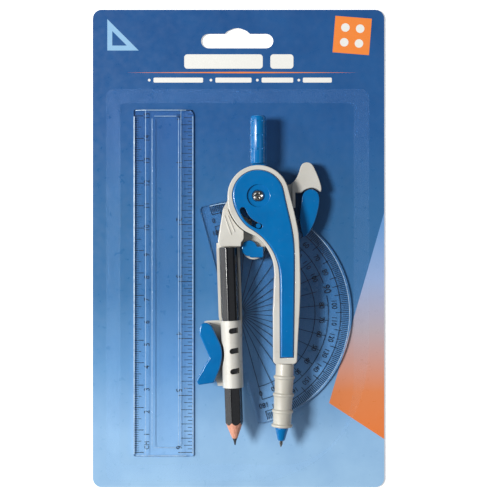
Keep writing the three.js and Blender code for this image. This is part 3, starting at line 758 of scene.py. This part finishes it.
def clear_edges():
    """Painted highlights along the rims of the ruler, its channel and the protractor, as thin light strips on
    their upper faces.
    """
    bottom_left, top_right = low("ruler"), high("ruler")
    left, bottom, right, top = bottom_left.x, bottom_left.y, top_right.x, top_right.y
    crest, bevel, edge = top_right.z, 5.5, 0.9
    slope = (crest - bottom_left.z - edge) / bevel
    gap, rise = 0.03, 0.02  # from the face to the strip, and the strip's own thickness

    def face_height(x):
        """The ruler's upper face: flat in the middle and falling to both long edges."""
        return crest - slope * max(0, left + bevel - x, x - right + bevel)

    bm = bmesh.new()

    def strip(x0, x1, y0, y1):
        points = [(x0, y0), (x1, y0), (x1, y1), (x0, y1)]
        heights = [face_height(x) + gap for x, _ in points]
        prism(bm, points, heights, [z + rise for z in heights])

    # strips of painted highlight along the long edges, the bevel lines, the ends and the channel
    end_width = 0.3
    for x0, x1 in ((left + 0.1, left + 0.5), (right - 0.5, right - 0.1)):
        strip(x0, x1, bottom + 0.9, top - 3.1)
    for x in (left + bevel, right - bevel):
        strip(x - 0.1, x + 0.1, bottom + end_width, top - end_width)
    for y in (bottom + end_width, top - 2 * end_width):
        strip(left + bevel, right - bevel, y, y + end_width)
        strip(left + 1.0, left + bevel, y, y + end_width)
        strip(right - bevel, right - 3.2, y, y + end_width)
    before, after, width, corner = 0.3, 0.08, 0.22, 0.8
    for x in (CHANNEL_SIDES[0] - before, CHANNEL_SIDES[1] + after):
        strip(x, x + width, CHANNEL_ENDS[0] + corner, CHANNEL_ENDS[1] - corner)
    for y in (CHANNEL_ENDS[0] - before, CHANNEL_ENDS[1] + after):
        strip(CHANNEL_SIDES[0] + corner, CHANNEL_SIDES[1] - corner, y, y + width)
    add_piece("ruler_edge_highlights", bm, EDGE, "ruler")

    # a strip of painted highlight round the protractor's rim
    rim = bmesh.new()
    z = high("protractor").z + gap
    turns = range(180, -1, -2)
    outer = [tuple(round_spot(RADIUS - 0.6, d)) for d in turns]
    inner = [tuple(round_spot(RADIUS - 0.9, d)) for d in reversed(turns)]
    prism(rim, outer + inner, z, z + rise)
    add_piece("protractor_edge_highlights", rim, EDGE, "protractor")


# ---------------------------------------------------------------- compass
def leg_frame(start, axis):
    """A place whose Y axis runs along a leg's axis from a point in metres."""
    up = Vector(axis).normalized()
    side = up.cross(Vector((0, 0, 1))).normalized()
    turn = Matrix((side, up, side.cross(up))).transposed().to_4x4()
    return Matrix.Translation(start) @ turn


def handle_grip():
    """The round handle, with its rows of small raised dots and the socket for the bracket's neck."""
    lowest, highest = low("handle_grip"), high("handle_grip")
    centre = middle("handle_grip")
    radius = (highest.x - lowest.x) / 2
    length = highest.y - lowest.y
    place = Matrix.Translation(Vector((centre.x, lowest.y, centre.z)) * MM)
    dome = 1.1
    profile = [(0, 0), (radius - 0.7, 0), (radius - 0.25, 0.15), (radius, 0.6), (radius, length - dome)]
    for i in range(1, 7):
        turn = math.radians(15 * i)
        profile.append((radius - dome * (1 - math.cos(turn)), length - dome + dome * math.sin(turn)))
    profile.append((0, length))
    grip = bmesh.new()
    revolve(grip, profile, 64, place)

    neck_half, end_gap, face_gap = 2.8, 0.3, 0.2
    bracket_low, bracket_high = low("handle_bracket"), high("handle_bracket")
    left, right = centre.x - neck_half, centre.x + neck_half
    bottom, top = lowest.y - 1, bracket_high.y + end_gap
    socket = bmesh.new()
    neck = [(left, bottom), (right, bottom), (right, top), (left, top)]
    prism(socket, neck, bracket_low.z - face_gap, bracket_high.z + face_gap)
    bm = cut(grip, socket)
    add_dots(bm, place, radius, length)
    piece = add_piece("handle_grip_fine", bm, BLUE, "handle")
    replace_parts(piece, "handle_grip")


def main_leg_foot():
    """The ringed grip, the nose cone and the needle, turned about the needle's own axis. Each profile lists
    (radius, height), and the heights run up the leg from the nose_turn joint's place."""
    joint = JOINTS["nose_turn"]
    place = leg_frame(Vector(joint["pos_m"]), joint["axis"])
    bore, waist, belly, ring, lip = 3.2, 3.9, 4.15, 4.6, 3.4
    top, bottom = -0.8, -28.6
    outer = []
    for i, down in enumerate((28.0, 21.7, 14.5, 6.9)):
        outer += [(lip if i == 0 else belly, -down - 0.6), (ring, -down - 0.35)]
        outer += [(ring, -down + 0.6), (waist, -down + 1.0)]
    profile = [(bore, bottom), *outer, (waist, top), (bore, top), (bore, bottom)]
    sleeve = turned_ring(profile, 0.3, 64, place)
    piece = add_piece("grip_sleeve_fine", sleeve, GRIP, "main_leg")
    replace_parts(piece, "grip_sleeve")

    hole, seat, widest, nose = 0.95, 1.7, 2.8, -34.5
    profile = [
        (hole, nose), (1.32, nose), (1.62, -34.1), (widest, -29.3), (widest, -28.7), (seat, -28.7),
        (seat, -31.3), (hole, -31.3), (hole, nose),
    ]
    cone = turned_ring(profile, 0.25, 48, place)
    piece = add_piece("nose_cone_fine", cone, BLUE, "nose_cone")
    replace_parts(piece, "nose_cone")

    shank = 0.8
    needle = bmesh.new()
    profile = [(0, -37.5), (0.1, -37.38), (shank, -35.9), (shank, -14.1), (shank - 0.1, -14), (0, -14)]
    revolve(needle, profile, 32, place)
    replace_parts(add_piece("needle_fine", needle, STEEL, "needle"), "needle")


def add_dots(bm, place, radius, length):
    """Rows of low domes round the handle, partly sunk into it."""
    rows, columns, dome, pitch = 3, 8, 0.5, 6.1
    first_turn, below_top = 98, 2.6
    away = radius - 0.12
    for column in range(columns):
        around = math.radians(360 * column / columns + first_turn)
        for row in range(rows):
            height = length - below_top - pitch * row
            centre = Vector((math.cos(around) * away, height, math.sin(around) * away))
            at = place @ Matrix.Translation(centre * MM)
            bmesh.ops.create_icosphere(bm, subdivisions=2, radius=dome * MM, matrix=at)


def pencil():
    """The hexagonal casing, whose lacquer ends in scallops where the sharpened cone cuts its flats. Lengths
    run down the pencil from its blunt end."""
    axis = -Vector(JOINTS["pencil_slide"]["axis"])
    place = leg_frame(Vector((-4.3, 0.6, 11.0)) * MM, axis)
    half_flat, lead, painted, wood, length = 3.475, 1.05, 77.4, 83.7, 86.5
    slope = (half_flat - lead) / (wood - painted)
    steps, edge, corner_radius = 96, 0.35, half_flat * 1.12

    def hex_radius(turn):
        away = (turn - PENCIL_TURN + math.pi / 6) % (math.pi / 3) - math.pi / 6
        return half_flat / math.cos(away)

    def ring(bm, radii, depths):
        """A ring of points. Each of the two is a number or one per point."""
        radii = radii if isinstance(radii, list) else [radii] * steps
        depths = depths if isinstance(depths, list) else [depths] * steps
        return [
            bm.verts.new(place @ (Vector((r * math.cos(t), -d, r * math.sin(t))) * MM))
            for r, d, t in zip(radii, depths, turns)
        ]

    def tube(bm, rings):
        """Joins rings of points into a closed tube whose last ring meets the first."""
        for a, b in zip(rings, rings[1:] + rings[:1]):
            for i in range(steps):
                j = (i + 1) % steps
                bm.faces.new((a[i], a[j], b[j], b[i]))

    def less(values, amount):
        return [value - amount for value in values]

    turns = [2 * math.pi * i / steps for i in range(steps)]
    hexes = [min(hex_radius(t), corner_radius) for t in turns]
    scallop = [painted - (r - half_flat) / slope for r in hexes]
    bore, lacquer = lead + 0.08, 0.12

    casing = bmesh.new()
    lacquer_end = [depth + 0.05 for depth in scallop]
    tube(casing, [
        ring(casing, bore, 0.0),
        ring(casing, less(hexes, edge), 0.0),
        ring(casing, less(hexes, 0.1), 0.12),
        ring(casing, hexes, edge),
        ring(casing, hexes, scallop),
        ring(casing, less(hexes, lacquer), lacquer_end),
        ring(casing, bore, lacquer_end),
    ])
    piece = add_piece("pencil_casing_fine", casing, LACQUER, "pencil", smooth_angle=22)
    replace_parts(piece, "pencil_casing")

    cone = bmesh.new()
    shaved = [depth + 0.12 for depth in scallop]
    feather = wood - 0.12 / slope
    tube(cone, [
        ring(cone, bore, [depth + 0.6 for depth in shaved]),
        ring(cone, less(hexes, 0.13), shaved),
        ring(cone, half_flat - slope * 1.2, painted + 1.2),
        ring(cone, half_flat - slope * 3.6, painted + 3.6),
        ring(cone, lead + 0.12, feather),
        ring(cone, bore, feather),
    ])
    piece = add_piece("pencil_point_fine", cone, WOOD, "pencil", smooth_angle=40)
    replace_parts(piece, "pencil_point")

    tip = bmesh.new()
    profile = [(0, 0.02), (lead, 0.02), (lead, wood - 0.15), (lead * 0.55, wood + 1.0)]
    profile += [(0.3, length - 0.3), (0.16, length - 0.05), (0, length)]
    revolve(tip, [(r, -depth) for r, depth in profile], 32, place)
    piece = add_piece("pencil_lead_fine", tip, LEAD, "pencil", smooth_angle=50)
    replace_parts(piece, "pencil_lead")


def build_compass():
    """The compass and its pencil, each CAD node under a piece with rounded or turned edges."""
    front, panel, rear = high("leg_front_shell").z, high("leg_panel").z, low("leg_rear_shell").z
    refine("leg_front_shell", [(front, 0.42, 0.2)])
    refine("leg_panel", [(panel, 0.85, 0.2)], 5)
    refine("leg_rear_shell", [(rear, 0.3, 0)])
    refine("arm_plate", [(BOSS_TOP, 0.35, 0), (WING_TOP, 0.4, 0), (high("arm_plate").z, 0.14, 0.14)])
    refine("arm_inlay", [(high("arm_inlay").z, 0.6, 0)])
    refine("tail_leaf", [(high("tail_leaf").z, 0.4, 0)])
    refine("clamp_lever", [(high("clamp_lever").z, 0.6, 0), (low("clamp_lever").z, 0.4, 0)])
    refine("handle_bracket", [])
    refine("pivot_screw", [(high("pivot_screw").z, 0.1, 0)], 2)
    for node in (
        "pencil_holder", "needle_chuck", "guide_peg", "clamp_pin", "pivot_nut", "rear_washer", "front_washer",
    ):
        refine(node, [])
    main_leg_foot()
    handle_grip()
    pencil()


# ---------------------------------------------------------------- stage
def build_stage():
    """A pale floor, soft studio light from the upper left, and a camera that looks straight down. Places
    and sizes are in metres."""
    bpy.ops.mesh.primitive_plane_add(size=3.0, location=(0, 0, -0.0002))
    floor = bpy.context.object
    floor.name = "floor"
    m = Material("floor", Roughness=0.7, Emission_Strength=0.35)
    m.shader.inputs["Emission Color"].default_value = (1, 1, 1, 1)
    m.color(m.blend(m.spread(m.noise(12, 3), 0, 1), linear(250, 250, 250), linear(246, 246, 247)))
    floor.data.materials.append(m.data)

    world = bpy.data.worlds.new("studio")
    bpy.context.scene.world = world
    world.use_nodes = True
    tree = world.node_tree
    path = tree.nodes.new("ShaderNodeLightPath")
    bounced, through, shown = (tree.nodes.new("ShaderNodeMix") for _ in range(3))
    for mix, factor in (
        (bounced, "Is Glossy Ray"), (through, "Is Transmission Ray"), (shown, "Is Camera Ray"),
    ):
        mix.data_type = "RGBA"
        tree.links.new(path.outputs[factor], mix.inputs[MIX_FACTOR])
    bounced.inputs[MIX_FIRST].default_value = (0.14, 0.155, 0.185, 1)
    bounced.inputs[MIX_SECOND].default_value = (0.05, 0.055, 0.06, 1)
    through.inputs[MIX_SECOND].default_value = (0.42, 0.5, 0.6, 1)
    shown.inputs[MIX_SECOND].default_value = (1.0, 1.0, 1.0, 1)
    tree.links.new(bounced.outputs[MIX_RESULT], through.inputs[MIX_FIRST])
    tree.links.new(through.outputs[MIX_RESULT], shown.inputs[MIX_FIRST])
    tree.links.new(shown.outputs[MIX_RESULT], tree.nodes["Background"].inputs["Color"])

    def lamp(name, place, size, power, color):
        data = bpy.data.lights.new(name, "AREA")
        data.shape = "RECTANGLE"
        data.size, data.size_y = size
        data.energy = power
        data.color = color
        light = bpy.data.objects.new(name, data)
        light.location = place
        light.rotation_euler = (-Vector(place)).to_track_quat("-Z", "Y").to_euler()
        bpy.context.scene.collection.objects.link(light)

    lamp("key", (-1.0, 0.08, 1.25), (0.36, 0.36), 25.0, (1.0, 0.99, 0.97))
    lamp("low_strip", (-0.80, -0.05, 0.42), (0.60, 0.22), 2.2, (0.97, 0.99, 1.0))
    lamp("fill", (0.5, -0.2, 0.8), (0.5, 0.5), 0.3, (0.94, 0.97, 1.0))

    camera_data = bpy.data.cameras.new("camera")
    camera = bpy.data.objects.new("camera", camera_data)
    bpy.context.scene.collection.objects.link(camera)
    distance, view_width, sensor = 0.480, 0.223, 36
    camera.location = (5.13 * MM, -0.67 * MM, CARD_TOP * MM + distance)
    camera_data.sensor_width = sensor
    camera_data.lens = sensor * distance / view_width
    camera_data.clip_start = 0.01
    bpy.context.scene.camera = camera
    bpy.context.scene.view_settings.view_transform = "Standard"


build_stage()
build_card()
paint_node("blister_rim")
# the upright walls of the ruler and protractor take a painted edge highlight
frost_walls(refine("ruler", [(high("ruler").z, 0.15, 0.3)], 2))
frost_walls(refine("protractor", [(high("protractor").z, 0.2, 0)], 2))
ruler_scale()
protractor_scale()
clear_edges()
build_compass()
